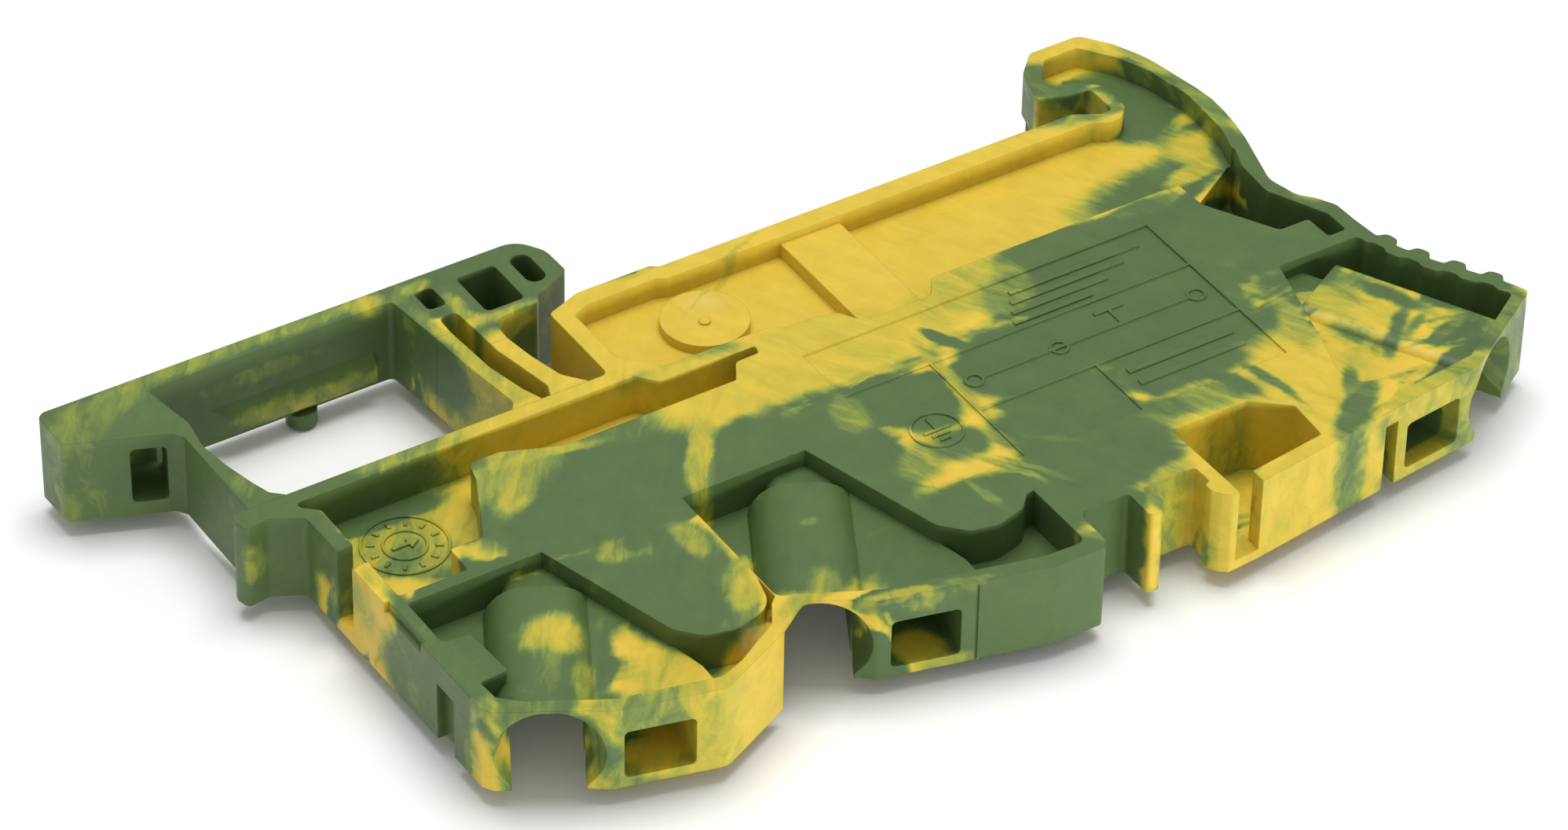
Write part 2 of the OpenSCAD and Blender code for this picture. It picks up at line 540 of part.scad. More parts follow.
// bend and fixed limb of a clamp spring
module spring_fixed() {
    h = spring_high - metal_low;
    translate([0, 0, low + metal_low]) {
        translate([bend[0] - mid_x, bend[1] - mid_y, 0])
            difference() {
                cylinder(h = h, r = bend_r + spring_t / 2, $fn = 48);
                translate([0, 0, -1])
                    cylinder(h = h + 2, r = bend_r - spring_t / 2, $fn = 48);
                translate([-5, 0, -1])
                    cube([10, 5, h + 2]);
            }
        translate([bend[0] - mid_x + bend_r - spring_t / 2, bend[1] - mid_y - eps, 0])
            cube([spring_t, bar_y - bend[1] - 0.05, h]);
        translate([bend[0] - mid_x + bend_r - 1.8, bar_y - mid_y - 0.06 - spring_t, 0])
            cube([1.8, spring_t, h]);
    }
}

// moving limb, from the bend up to the wire
module spring_limb() {
    slab([[-12.67, -9.88, 0], [-12.33, -9.88, 0], [-12.5, -9.2, 0.5], [-16.55, -1.75, 0],
        [-16.6, -1.4, 0.1], [-16.9, -1.6, 0.1], [-12.85, -9.1, 0.5]], metal_low, spring_high);
    // round root, on which the limb turns
    translate([-12.5 - mid_x, -9.88 - mid_y, low + metal_low])
        cylinder(h = spring_high - metal_low, d = spring_t, $fn = 24);
}

module to_entry(n) {
    if (n == 1) children();
    if (n == 2) translate([entry_pitch, 0.05, 0]) children();
    if (n == 3)
        translate([2 * (entry_turn - mid_x), -0.7, 0])
            mirror([1, 0, 0]) children();
}

module clamp_spring_1() {
    color(steel) to_entry(1) spring_fixed();
}

module clamp_spring_2() {
    color(steel) to_entry(2) spring_fixed();
}

module clamp_spring_3() {
    color(steel)
        difference() {
            to_entry(3) spring_fixed();
            // this limb is shorter, below the bar
            slab([[20, bar_y - 0.05, 0], [26, bar_y - 0.05, 0], [26, 5, 0], [20, 5, 0]], 0, block_t);
        }
}

module clamp_leg_1() {
    color(steel) to_entry(1) spring_limb();
}

module clamp_leg_2() {
    color(steel) to_entry(2) spring_limb();
}

module clamp_leg_3() {
    color(steel) to_entry(3) spring_limb();
}

foot_edge = [
    [9.1, 3.4, 0], [10.7, 3.4, 0], [10.7, 6.4, 0.3], [11.8, 7.2, 0.3], [29.2, 7.2, 0.3],
    [32.0, 8.7, 0.6], [32.6, 10.0, 1], [32.5, 12.2, 2], [31.7, 16.0, 1],
    [30.6, 17.7, 0.4], [28.4, 18.5, 0.4], [27.3, 17.9, 0.3], [26.75, 16.5, 0.2], [27.3, 15.35, 0.2],
    [28.5, 15.35, 0.2], [28.8, 17.0, 0.2], [30.1, 17.35, 0.3], [31.3, 15.6, 1], [31.2, 12.2, 1],
    [30.4, 11.3, 0.4], [27.9, 11.3, 0.3], [27.6, 12.0, 0.2], [-0.9, 12.0, 0.2], [-1.2, 11.5, 0.2],
    [-1.2, 8.0, 0.2], [4.9, 7.9, 0.4], [8.0, 7.2, 0.4], [9.1, 6.3, 0.3]];

module ground_foot() {
    color(steel)
        difference() {
            union() {
                slab(foot_edge, 0.35, 0.35 + foot_t);
                // upturned tab that the rivets join to the bar
                slab([[stem_x - 0.85, bar_y + bar_t, 0], [stem_x + 0.85, bar_y + bar_t, 0],
                    [stem_x + 0.85, bar_y + bar_t + 0.8, 0], [stem_x - 0.85, bar_y + bar_t + 0.8, 0]],
                    0.35, metal_high - 0.05);
            }
            rivet_row(rivet_d, bar_y, bar_y + 2);
            // round opening in the plate
            translate([1.5 - mid_x, 10.0 - mid_y, low - 1])
                cylinder(h = 4, d = 2.6, $fn = 40);
            translate([21 - mid_x, 9.6 - mid_y, low - 1])
                cylinder(h = 4, d = 2.6, $fn = 40);
        }
}

module foot_claw() {
    color(steel)
        slab([[-1.22, 8.3, 0], [-3.0, 8.3, 0.3], [-3.8, 9.3, 0.3], [-3.8, 13.8, 0.3],
            [-2.4, 14.5, 0.15], [-2.0, 14.5, 0.1], [-2.0, 13.9, 0.1], [-3.1, 13.3, 0.3],
            [-3.1, 9.4, 0.3], [-2.7, 9.0, 0.2], [-1.22, 9.0, 0]], 0.35, 0.35 + foot_t);
}

module rivet(z) {
    y0 = bar_y;
    y1 = bar_y + bar_t + 0.8;
    translate([stem_x - mid_x, 0, low + z])
        rotate([-90, 0, 0]) {
            translate([0, 0, y0 - mid_y - 0.25])
                cylinder(h = 0.25, r1 = 0.65, r2 = 0.85, $fn = 32);
            translate([0, 0, y0 - mid_y - eps])
                cylinder(h = y1 - y0 + 2 * eps, d = rivet_d, $fn = 32);
            translate([0, 0, y1 - mid_y])
                cylinder(h = 0.25, r1 = 0.85, r2 = 0.65, $fn = 32);
        }
}

module foot_rivet_1() {
    color(tin) rivet(1.35);
}

module foot_rivet_2() {
    color(tin) rivet(3.15);
}

housing();
rail_latch();
latch_leaf_outer();
latch_leaf_middle();
latch_leaf_inner();
current_bar();
clamp_spring_1();
clamp_spring_2();
clamp_spring_3();
clamp_leg_1();
clamp_leg_2();
clamp_leg_3();
ground_foot();
foot_claw();
foot_rivet_1();
foot_rivet_2();
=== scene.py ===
import json
import math
from collections import namedtuple

import bmesh
import bpy
from mathutils import Matrix, Quaternion, Vector


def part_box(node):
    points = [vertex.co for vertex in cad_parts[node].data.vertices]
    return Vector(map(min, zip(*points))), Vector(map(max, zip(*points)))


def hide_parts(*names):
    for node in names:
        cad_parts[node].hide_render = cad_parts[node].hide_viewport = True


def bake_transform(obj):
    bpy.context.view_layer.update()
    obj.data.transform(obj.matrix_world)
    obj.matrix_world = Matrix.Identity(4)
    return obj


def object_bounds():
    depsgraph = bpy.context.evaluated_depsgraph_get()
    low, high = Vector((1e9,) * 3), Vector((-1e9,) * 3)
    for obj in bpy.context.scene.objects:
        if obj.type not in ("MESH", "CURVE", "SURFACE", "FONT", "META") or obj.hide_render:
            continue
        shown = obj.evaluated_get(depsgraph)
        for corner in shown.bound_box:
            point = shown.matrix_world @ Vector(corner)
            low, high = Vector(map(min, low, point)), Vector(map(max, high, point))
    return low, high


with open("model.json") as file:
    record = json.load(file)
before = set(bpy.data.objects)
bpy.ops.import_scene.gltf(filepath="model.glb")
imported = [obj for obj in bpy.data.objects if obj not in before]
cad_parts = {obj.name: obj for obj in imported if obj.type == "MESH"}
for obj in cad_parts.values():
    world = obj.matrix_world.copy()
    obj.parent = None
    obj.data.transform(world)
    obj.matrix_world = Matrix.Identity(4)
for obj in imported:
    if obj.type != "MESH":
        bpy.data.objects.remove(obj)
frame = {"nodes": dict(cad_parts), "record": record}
cad_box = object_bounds()

# The drawing frame of the block's outlines, in millimetres, is the row frame moved by this much.
SHIFT = (3.14, 1.30, 0.0)
MM_PER_M = 1000.0


# ---- node helpers ----


class Tree:
    """Small helper that adds shader nodes and links them."""

    def __init__(self, material):
        material.use_nodes = True
        self.nodes = material.node_tree.nodes
        self.links = material.node_tree.links
        self.nodes.clear()

    def add(self, kind, **settings):
        node = self.nodes.new(kind)
        for key, value in settings.items():
            setattr(node, key, value)
        return node

    def put(self, socket, value):
        """Links a socket, or sets the socket's own value."""
        if isinstance(value, bpy.types.NodeSocket):
            self.links.new(value, socket)
        elif value is not None:
            socket.default_value = value

    def math(self, operation, a, b=None, c=None, clamp=False):
        node = self.add("ShaderNodeMath", operation=operation, use_clamp=clamp)
        for socket, value in zip(node.inputs, (a, b, c)):
            self.put(socket, value)
        return node.outputs[0]

    def vector(self, operation, a, b=None, scale=None):
        node = self.add("ShaderNodeVectorMath", operation=operation)
        self.put(node.inputs[0], a)
        self.put(node.inputs[1], b)
        if scale is not None:
            node.inputs["Scale"].default_value = scale
        return node.outputs["Value"] if operation == "LENGTH" else node.outputs[0]

    def mapping(self, vector, turn=0, scale=(1, 1, 1), kind="POINT", location=(0, 0, 0)):
        node = self.add("ShaderNodeMapping", vector_type=kind)
        node.inputs["Location"].default_value = location
        node.inputs["Rotation"].default_value = (0, 0, math.radians(turn))
        node.inputs["Scale"].default_value = scale
        self.put(node.inputs["Vector"], vector)
        return node.outputs[0]

    def split(self, vector):
        node = self.add("ShaderNodeSeparateXYZ")
        self.put(node.inputs[0], vector)
        return node.outputs

    def noise(self, vector, scale, detail=2.0, rough=0.5, distortion=0.0):
        node = self.add("ShaderNodeTexNoise")
        self.put(node.inputs["Vector"], vector)
        node.inputs["Scale"].default_value = scale
        node.inputs["Detail"].default_value = detail
        node.inputs["Roughness"].default_value = rough
        node.inputs["Distortion"].default_value = distortion
        return node

    def ramp(self, value, stops):
        node = self.add("ShaderNodeValToRGB")
        elements = node.color_ramp.elements
        while len(elements) > len(stops):
            elements.remove(elements[-1])
        while len(elements) < len(stops):
            elements.new(1.0)
        for element, (at, colour) in zip(elements, stops):
            element.position = at
            element.color = (*colour, 1.0)
        self.put(node.inputs[0], value)
        return node.outputs[0]

    def span(self, value, low, high, to_low=0.0, to_high=1.0, smooth=True):
        """Moves the range low..high to to_low..to_high and clamps it."""
        kind = "SMOOTHSTEP" if smooth else "LINEAR"
        node = self.add("ShaderNodeMapRange", interpolation_type=kind)
        self.put(node.inputs[0], value)
        for socket, number in zip(node.inputs[1:5], (low, high, to_low, to_high)):
            socket.default_value = number
        return node.outputs[0]

    def mix(self, factor, a, b):
        node = self.add("ShaderNodeMix", data_type="FLOAT")
        self.put(node.inputs[0], factor)
        self.put(node.inputs[2], a)
        self.put(node.inputs[3], b)
        return node.outputs[0]

    def times_colour(self, a, b):
        node = self.add("ShaderNodeMix", data_type="RGBA", blend_type="MULTIPLY")
        self.put(node.inputs[0], 1.0)
        self.put(node.inputs[6], a)
        self.put(node.inputs[7], b)
        return node.outputs[2]

    def bump(self, height, strength, distance, normal=None):
        node = self.add("ShaderNodeBump")
        node.inputs["Strength"].default_value = strength
        node.inputs["Distance"].default_value = distance
        self.put(node.inputs["Height"], height)
        self.put(node.inputs["Normal"], normal)
        return node.outputs[0]

    def principled(self, colour, rough, normal=None):
        node = self.add("ShaderNodeBsdfPrincipled")
        self.put(node.inputs["Base Color"], colour)
        self.put(node.inputs["Roughness"], rough)
        self.put(node.inputs["Normal"], normal)
        return node

    def finish(self, surface):
        out = self.add("ShaderNodeOutputMaterial")
        self.links.new(surface, out.inputs[0])


# ---- marbled moulding ----

# Brush strokes that lay yellow (1) and green (0) masterbatch over each other, in the drawing
# frame: x, y, half length, half width, turn in degrees, yellow share, softness of the edge,
# and for a few of them the height and half height of a stroke that stops short of the surface.
Stroke = namedtuple(
    "Stroke", "x y half_length half_width turn share soft z half_height", defaults=(3.0, 60.0))
STROKES = [
    # rail latch: beam, lever and head
    (-22, 19.3, 16, 2.6, 0, 0.13, 0.3),
    (-30, 14.5, 4.5, 4.5, 0, 0.15, 0.4),
    (-31.5, 17.6, 2.6, 1.2, 10, 0.30, 0.8),
    (-31.8, 14.6, 1.2, 1.6, 20, 0.42, 0.9, 2.6, 1.6),
    (-28.6, 14.8, 0.8, 0.5, 0, 0.34, 0.9, 2.2, 1.0),
    (-29.5, 18.7, 3.0, 1.1, 5, 0.38, 0.8),
    (-25.0, 19.5, 4.0, 0.7, 0, 0.42, 0.8, 6.2, 1.2),
    (-18.0, 19.5, 4.5, 0.7, 0, 0.44, 0.8, 6.2, 1.2),
    (-13.7, 19.3, 1.3, 0.9, 0, 0.66, 0.9, 6.3, 1.0),
    (-20.5, 18.7, 4.2, 1.2, 0, 0.34, 0.9, 4.4, 0.5),
    (-17.5, 18.3, 4.5, 0.9, 0, 0.50, 0.8, 1.9, 0.7),
    (-6.4, 17.6, 4.4, 2.9, 0, 0.10, 0.35),
    (-11.9, 19.2, 0.6, 0.9, 0, 0.30, 0.7),
    (-10.7, 19.2, 0.9, 0.5, 0, 0.50, 0.8),
    (-11.8, 16.2, 0.7, 2.0, 0, 0.50, 0.8, 5.4, 1.2),
    (-9.6, 16.3, 0.6, 2.0, 0, 0.60, 0.8, 5.2, 1.4),
    (-7.8, 14.8, 2.2, 0.6, 3, 0.62, 0.9, 5.2, 1.4),
    (-6.6, 14.9, 1.0, 0.8, 0, 0.15, 0.6, 3.8, 1.2),
    # leaves
    (-26.6, 11, 1.2, 5.5, 4, 0.16, 0.5),
    (-26.3, 9.0, 0.5, 2.0, 8, 0.30, 0.9),
    (-11.4, 11, 1.2, 4.6, 5, 0.66, 0.5),
    (-12.2, 14.4, 0.7, 2.8, 4, 0.12, 0.7, 4.2, 2.4),
    (-9.3, 10.6, 1.3, 3.4, 5, 0.86, 0.5),
    # rail seat and panel
    (12, 10.4, 19.5, 4.8, 0, 0.92, 0.25),
    (-3.5, 10.8, 3.6, 4.7, 0, 0.90, 0.3),
    (4.5, 12.6, 3.4, 0.14, 22, 0.74, 0.9),
    (28.2, 7.8, 4.6, 1.8, 3, 0.14, 1.0, 4.2, 1.4),
    (31.3, 14.4, 2.5, 3.6, 0, 0.08, 0.5, 4.2, 1.5),
    (32.0, 9.4, 1.5, 1.6, 0, 0.80, 0.8, 4.2, 1.5),
    (30.8, 7.6, 2.2, 0.7, 8, 0.70, 0.7, 4.5, 0.8),
    (31.2, 3.0, 2.9, 5.4, 0, 0.06, 0.35, 1.9, 2.0),
    (32.2, 0.6, 1.8, 3.2, 0, 0.06, 0.35, 4.0, 2.0),
    # hook
    (30.0, 19.6, 2.8, 1.5, 0, 0.88, 0.5, 5.4, 1.6),
    (33.6, 16.0, 0.8, 2.2, 12, 0.50, 0.8, 5.6, 1.2),
    (34.3, 11.5, 0.8, 3.0, 0, 0.38, 0.8, 5.6, 1.4),
    (33.6, 5.5, 1.0, 4.0, 0, 0.18, 0.6, 5.0, 2.0),
    (33.9, 1.6, 0.9, 0.7, -40, 0.50, 0.8, 5.8, 0.8),
    (27.6, 17.4, 1.6, 1.8, 40, 0.22, 0.5),
    (29.3, 14.3, 0.9, 1.1, 0, 0.75, 0.6),
    (28.6, 13.4, 1.4, 0.5, -10, 0.40, 0.8, 5.6, 1.0),
    # channel and left wall
    (-24.0, 7.2, 4.8, 0.7, 0, 0.14, 0.5),
    (-17.5, 7.2, 3.6, 0.7, 0, 0.50, 0.9),
    (-9.5, 7.2, 5.5, 0.8, 0, 0.85, 0.5),
    (-20.8, 6.4, 4.6, 0.9, 0, 0.08, 0.5, 4.4, 1.7),
    (-8.5, 5.2, 8.4, 1.9, 0, 0.90, 0.35, 4.2, 2.4),
    (-19.5, 3.6, 4.8, 3.4, 0, 0.58, 0.6, 2.8, 1.5),
    (-16.8, 3.8, 1.6, 2.2, -20, 0.82, 0.8, 2.8, 1.5),
    (-20.6, 6.0, 4.0, 0.6, 0, 0.10, 0.6, 3.2, 1.2),
    (-21.0, 2.6, 1.5, 1.0, 30, 0.34, 0.9, 2.8, 1.4),
    (-26.4, 6.0, 2.4, 2.0, 0, 0.15, 0.5),
    (-27.6, 6.0, 0.9, 0.8, 0, 0.55, 0.8, 3.6, 1.2),
    (-24.5, 4.4, 0.8, 2.8, 0, 0.20, 0.5, 5.0, 2.0),
    (-24.4, -0.4, 0.8, 1.5, 0, 0.66, 0.7, 4.6, 2.0),
    (-24.3, -6.5, 1.0, 4.6, 0, 0.18, 0.5),
    (-25.0, -4.0, 0.4, 2.2, 0, 0.26, 0.9, 2.6, 1.6),
    # plateau, left half
    (-9.0, -0.5, 9.5, 3.8, 0, 0.07, 0.3),
    (-11.5, -8.0, 3.4, 5.6, 0, 0.08, 0.3),
    (-14.2, 3.3, 3.2, 1.9, 20, 0.55, 0.9),
    (-12.0, 3.7, 3.0, 0.5, -8, 0.62, 0.8),
    (-15.0, 1.6, 1.8, 0.8, 45, 0.60, 0.9),
    (-7.2, 3.1, 2.2, 0.9, -5, 0.28, 0.8),
    (-2.5, 3.6, 3.6, 3.2, 0, 0.84, 0.6),
    (-5.6, -0.9, 3.6, 0.75, 58, 0.64, 0.8),
    (-2.6, -1.4, 2.4, 2.0, 70, 0.10, 0.5),
    (-12.8, -5.0, 1.6, 0.9, -30, 0.44, 0.9),
    (-11.9, -4.9, 0.7, 0.5, 0, 0.15, 0.9),
    (-9.2, -6.0, 0.8, 1.7, 5, 0.54, 0.9),
    (-9.2, -10.8, 0.9, 2.0, -28, 0.60, 0.9),
    (-10.4, -12.2, 1.2, 0.5, 10, 0.35, 0.9),
    # plateau, right half
    (5.0, 3.6, 8.5, 3.0, 0, 0.82, 0.35),
    (14.5, 4.0, 3.6, 2.2, 0, 0.72, 0.7),
    (1.0, -5.0, 3.0, 5.0, 0, 0.08, 0.4),
    (3.0, -1.6, 1.2, 1.8, -20, 0.42, 0.9),
    (6.4, -2.6, 2.3, 2.5, 0, 0.10, 0.5),
    (4.4, -6.6, 1.3, 2.0, -60, 0.50, 0.9),
    (9.0, -2.0, 0.5, 3.6, 0, 0.62, 0.9),
    (6.8, -6.6, 1.5, 1.2, 0, 0.20, 0.9),
    (9.0, -7.4, 0.7, 1.8, 10, 0.55, 0.9),
    (13.2, -2.6, 3.8, 3.2, -10, 0.08, 0.4),
    (10.6, 1.2, 1.5, 0.5, -60, 0.14, 0.6),
    (21.0, -1.5, 5.6, 6.8, 0, 0.06, 0.35),
    (11.5, -5.3, 2.0, 0.4, -15, 0.26, 0.9),
    (20.0, 5.0, 3.4, 1.2, -4, 0.16, 0.7),
    (26.0, 5.1, 2.2, 0.7, -4, 0.24, 0.8),
    (15.6, 2.6, 1.4, 2.0, -40, 0.42, 0.9),
    (29.0, 0.4, 3.6, 3.6, 0, 0.13, 0.5),
    (26.6, -1.8, 1.4, 0.5, 35, 0.18, 0.9),
    (31.2, -2.0, 4.4, 0.9, 0, 0.08, 0.4),
    (36.6, -6.8, 4.6, 2.0, -62, 0.08, 0.3),
    (4.0, -12.8, 6.6, 3.6, 0, 0.07, 0.35),
    (12.5, -10.8, 4.6, 3.6, 0, 0.09, 0.4),
    (12.8, -6.6, 3.9, 2.0, 0, 0.10, 0.5),
    (7.6, -9.4, 2.0, 0.3, -66, 0.48, 0.9),
    (8.9, -10.6, 2.2, 0.25, -60, 0.36, 0.9),
    (5.4, -10.6, 1.5, 0.35, -78, 0.36, 0.9),
    (11.2, -9.0, 1.2, 0.3, -50, 0.30, 0.9),
    # lower right corner
    (22.8, -11.6, 6.2, 4.4, 0, 0.86, 0.5),
    (21.5, -16.9, 5.0, 1.6, 8, 0.84, 0.4),
    (20.5, -7.4, 3.4, 1.4, -8, 0.10, 0.7),
    (19.0, -10.0, 3.4, 1.3, -10, 0.42, 0.9),
    (17.4, -9.6, 1.6, 0.9, -40, 0.22, 0.9),
    (21.4, -9.6, 2.0, 0.5, -72, 0.16, 0.8),
    (23.0, -10.6, 2.2, 0.35, -80, 0.30, 0.9),
    (27.0, -7.4, 2.2, 0.9, 72, 0.55, 0.9),
    (25.6, -3.6, 1.6, 0.5, 62, 0.20, 0.9),
    (18.4, -12.4, 1.2, 0.25, 60, 0.35, 0.9, 3.4, 1.2),
    (29.5, -15.4, 2.6, 0.9, 10, 0.70, 0.6),
    (25.6, -14.8, 3.0, 0.8, 42, 0.24, 0.8),
    (27.0, -12.2, 1.6, 0.5, 50, 0.30, 0.8),
    (33.2, -14.8, 2.0, 0.8, 0, 0.55, 0.8),
    (36.8, -12.4, 2.4, 1.0, 32, 0.30, 0.6),
    # bridge recess and front of the middle
    (10.2, -15.0, 1.8, 1.6, 0, 0.14, 0.5),
    (12.5, -15.6, 0.5, 1.3, 0, 0.50, 0.8),
    (14.2, -15.2, 1.4, 1.4, 0, 0.62, 0.8),
    (16.4, -16.4, 1.1, 1.5, 0, 0.86, 0.5),
    (3.5, -16.2, 5.5, 1.6, -14, 0.10, 0.4),
    (-2.6, -15.2, 2.6, 0.35, -15, 0.60, 0.9, 5.6, 1.0),
    (1.0, -15.9, 1.4, 0.3, -15, 0.40, 0.9, 5.8, 0.6),
    (-1.2, -14.6, 1.8, 1.6, 0, 0.80, 0.6, 1.8, 1.0),
    (-0.2, -16.0, 1.6, 0.5, -12, 0.60, 0.8, 1.1, 0.6),
    # front of the first clamp
    (-22.4, -13.0, 2.0, 1.0, -28, 0.30, 0.6),
    (-17.2, -15.4, 3.2, 0.9, -18, 0.45, 0.8),
    (-13.4, -16.2, 2.4, 1.0, 0, 0.72, 0.7),
    (-10.0, -15.0, 3.2, 1.3, 30, 0.88, 0.5),
    (-7.0, -13.4, 1.2, 0.8, 0, 0.70, 0.8, 2.5, 2.0),
    (-16.6, -14.4, 2.0, 1.8, 0, 0.85, 0.5, 2.4, 1.4),
    # pockets, lanes and tubes
    (-19.8, -7.8, 4.6, 5.4, 0, 0.08, 0.3, 3.6, 1.9),
    (-4.2, -8.4, 4.8, 5.6, 0, 0.09, 0.3, 3.6, 1.9),
    (32.6, -8.2, 5.0, 5.4, -30, 0.10, 0.35, 3.6, 1.9),
    (-19.2, -8.6, 5.6, 3.0, 62, 0.09, 0.35, 4.6, 1.5),
    (-3.6, -8.0, 5.6, 3.0, 62, 0.09, 0.35, 4.8, 2.2),
    (-18.9, -8.3, 1.8, 1.6, 0, 0.72, 0.8, 5.2, 1.3),
    (-20.4, -10.4, 1.8, 0.8, 60, 0.34, 0.9, 5.0, 1.1),
    (-19.2, -11.8, 1.8, 0.7, 60, 0.50, 0.9, 5.0, 1.2),
    (-15.4, -12.6, 2.3, 1.9, 60, 0.72, 0.8, 4.0, 1.3),
    (-15.6, -8.2, 1.5, 1.3, 60, 0.30, 0.8, 4.0, 1.2),
    (-10.2, -12.9, 2.4, 1.2, 30, 0.85, 0.6, 3.4, 1.9),
    (-3.2, -7.4, 0.5, 0.35, 0, 0.34, 0.9, 5.6, 0.8),
    (-5.2, -11.9, 1.4, 0.9, 60, 0.46, 0.9, 5.4, 1.0),
    (-7.2, -6.8, 1.3, 1.2, 60, 0.70, 0.7, 3.4, 1.4),
    (-7.2, -12.9, 1.5, 0.8, 10, 0.60, 0.8, 5.4, 1.2),
    (30.2, -6.6, 2.4, 1.3, -60, 0.62, 0.8, 5.0, 1.2),
    (31.6, -9.0, 2.0, 1.0, -60, 0.80, 0.8, 5.0, 1.2),
    (33.0, -8.0, 2.8, 0.6, -66, 0.10, 0.8, 5.0, 1.1),
    (31.9, -10.2, 2.0, 0.5, 40, 0.16, 0.8, 5.0, 1.1),
    (32.6, -10.6, 1.4, 0.4, 30, 0.25, 0.9, 5.0, 1.1),
    (33.6, -11.8, 1.6, 0.4, 24, 0.30, 0.9, 5.0, 1.2),
    (28.6, -11.0, 1.8, 1.2, -60, 0.60, 0.8, 3.8, 1.2),
    (30.0, -13.6, 1.8, 0.8, 10, 0.60, 0.8, 3.8, 1.3),
]

# the moulding's colour from green through olive to yellow
PIGMENT = [
    (0.0, (0.080, 0.138, 0.042)),
    (0.25, (0.098, 0.160, 0.046)),
    (0.45, (0.200, 0.270, 0.050)),
    (0.65, (0.420, 0.400, 0.040)),
    (0.84, (0.640, 0.480, 0.042)),
    (1.0, (0.750, 0.530, 0.055)),
]
FAR = 1000.0
# The borders of the bands along x that are painted apart, so that a point works out
# the strokes near it only.
BANDS = (-FAR, -20.5, -10.0, 1.5, 12.5, 24.0, FAR)
# the leaves need the strokes of this stretch along x only
LEAF_STRETCH = (-31.0, -5.0)
# where each leaf keeps its place at rest, so that the marbling bends with it
REST_PLACE = "rest_place"

# share of the light that goes through the skin, and how deep, in metres
SOFT_LIGHT = 0.12
SOFT_DEPTH = 0.0006
# the mould's small edge radius and the depth of its texture, in metres
EDGE_RADIUS = 0.00011
SKIN_DEPTH = 0.00004
# a link this weak changes nothing that shows
FAINT = 0.000001


def rest_millimetres(t, attribute=None):
    """Row-frame position in the drawing frame's millimetres."""
    if attribute:
        node = t.add("ShaderNodeAttribute", attribute_name=attribute)
        place = node.outputs["Vector"]
    else:
        place = t.add("ShaderNodeTexCoord").outputs["Object"]
    scaled = t.vector("SCALE", place, scale=MM_PER_M)
    return t.vector("ADD", scaled, SHIFT)


def reaches(stroke, low, high):
    """True if any of the stroke, with its soft edge, lies in the band from low to high."""
    turn = math.radians(stroke.turn)
    half = math.hypot(stroke.half_length * math.cos(turn), stroke.half_width * math.sin(turn))
    half *= 1.0 + stroke.soft / 2
    return stroke.x + half > low and stroke.x - half < high


def lay_stroke(t, field, place, stroke):
    # the faint link to the last stroke makes the renderer work through them in order,
    # which keeps it inside its memory for one material
    ordered = t.add("ShaderNodeVectorMath", operation="MULTIPLY_ADD")
    t.put(ordered.inputs[0], field)
    t.put(ordered.inputs[1], (FAINT, FAINT, FAINT))
    t.put(ordered.inputs[2], place)
    local = t.mapping(
        ordered.outputs[0], stroke.turn,
        (stroke.half_length, stroke.half_width, stroke.half_height),
        kind="TEXTURE", location=(stroke.x, stroke.y, stroke.z))
    distance = t.vector("LENGTH", local)
    mask = t.span(distance, 1.0 + stroke.soft / 2, 1.0 - stroke.soft / 2)
    return t.mix(mask, field, stroke.share)


def swayed(t, noise, amount):
    """The offset in millimetres by which a noise moves a point."""
    centred = t.vector("SUBTRACT", noise.outputs["Color"], (0.5, 0.5, 0.5))
    return t.vector("SCALE", centred, scale=amount)


def bent_place(t, mm):
    """Slow swirls bend the strokes, quick ones fray their edges."""
    slow = t.noise(mm, 0.16, 2.0, 0.55)
    quick = t.noise(mm, 0.75, 3.0, 0.6)
    bend = swayed(t, slow, 1.3)
    fray = swayed(t, quick, 0.6)
    return t.vector("ADD", t.vector("ADD", mm, bend), fray)


def swirls(t, place):
    """Where no stroke reaches, large swirls decide."""
    stretched = t.mapping(place, 35, (0.09, 0.2, 0.12))
    swirl = t.noise(stretched, 1.0, 3.0, 0.5, 1.2)
    return t.span(swirl.outputs["Fac"], 0.44, 0.58)


def feathers(t, place):
    """Feathers along the borders, leaning one way on the left half and the other on the right."""
    plumes = []
    for turn in (52, -62):
        leaning = t.mapping(place, turn, (4.2, 0.9, 1.6), kind="TEXTURE")
        plumes.append(t.noise(leaning, 1.0, 4.0, 0.62, 0.8).outputs["Fac"])
    right_half = t.span(t.split(place)[0], -6.0, 4.0)
    return t.math("SUBTRACT", t.mix(right_half, plumes[0], plumes[1]), 0.5)


def mould_skin(t, mm):
    """Moulded skin: slight gloss changes, a very fine texture and small edge radii."""
    gloss = t.noise(mm, 2.2, 4.0, 0.6)
    rough = t.span(gloss.outputs["Fac"], 0.3, 0.7, 0.36, 0.50, smooth=False)
    grain = t.noise(mm, 14.0, 3.0, 0.6)
    waves = t.noise(mm, 1.1, 2.0, 0.5)
    height = t.math("MULTIPLY_ADD", grain.outputs["Fac"], 0.35, waves.outputs["Fac"])
    corner = t.add("ShaderNodeBevel", samples=4)
    corner.inputs["Radius"].default_value = EDGE_RADIUS
    return rough, t.bump(height, 0.12, SKIN_DEPTH, corner.outputs[0])


def pigment_colour(t, field, fray, shade):
    """Colour of a yellow share, with the feathers at their strongest where the colours meet."""
    other = t.math("SUBTRACT", 1.0, field)
    border = t.math("MULTIPLY", t.math("MULTIPLY", field, other), 3.0)
    value = t.math("MULTIPLY_ADD", fray, t.math("ADD", border, 0.16), field, clamp=True)
    return t.times_colour(t.ramp(value, PIGMENT), shade)


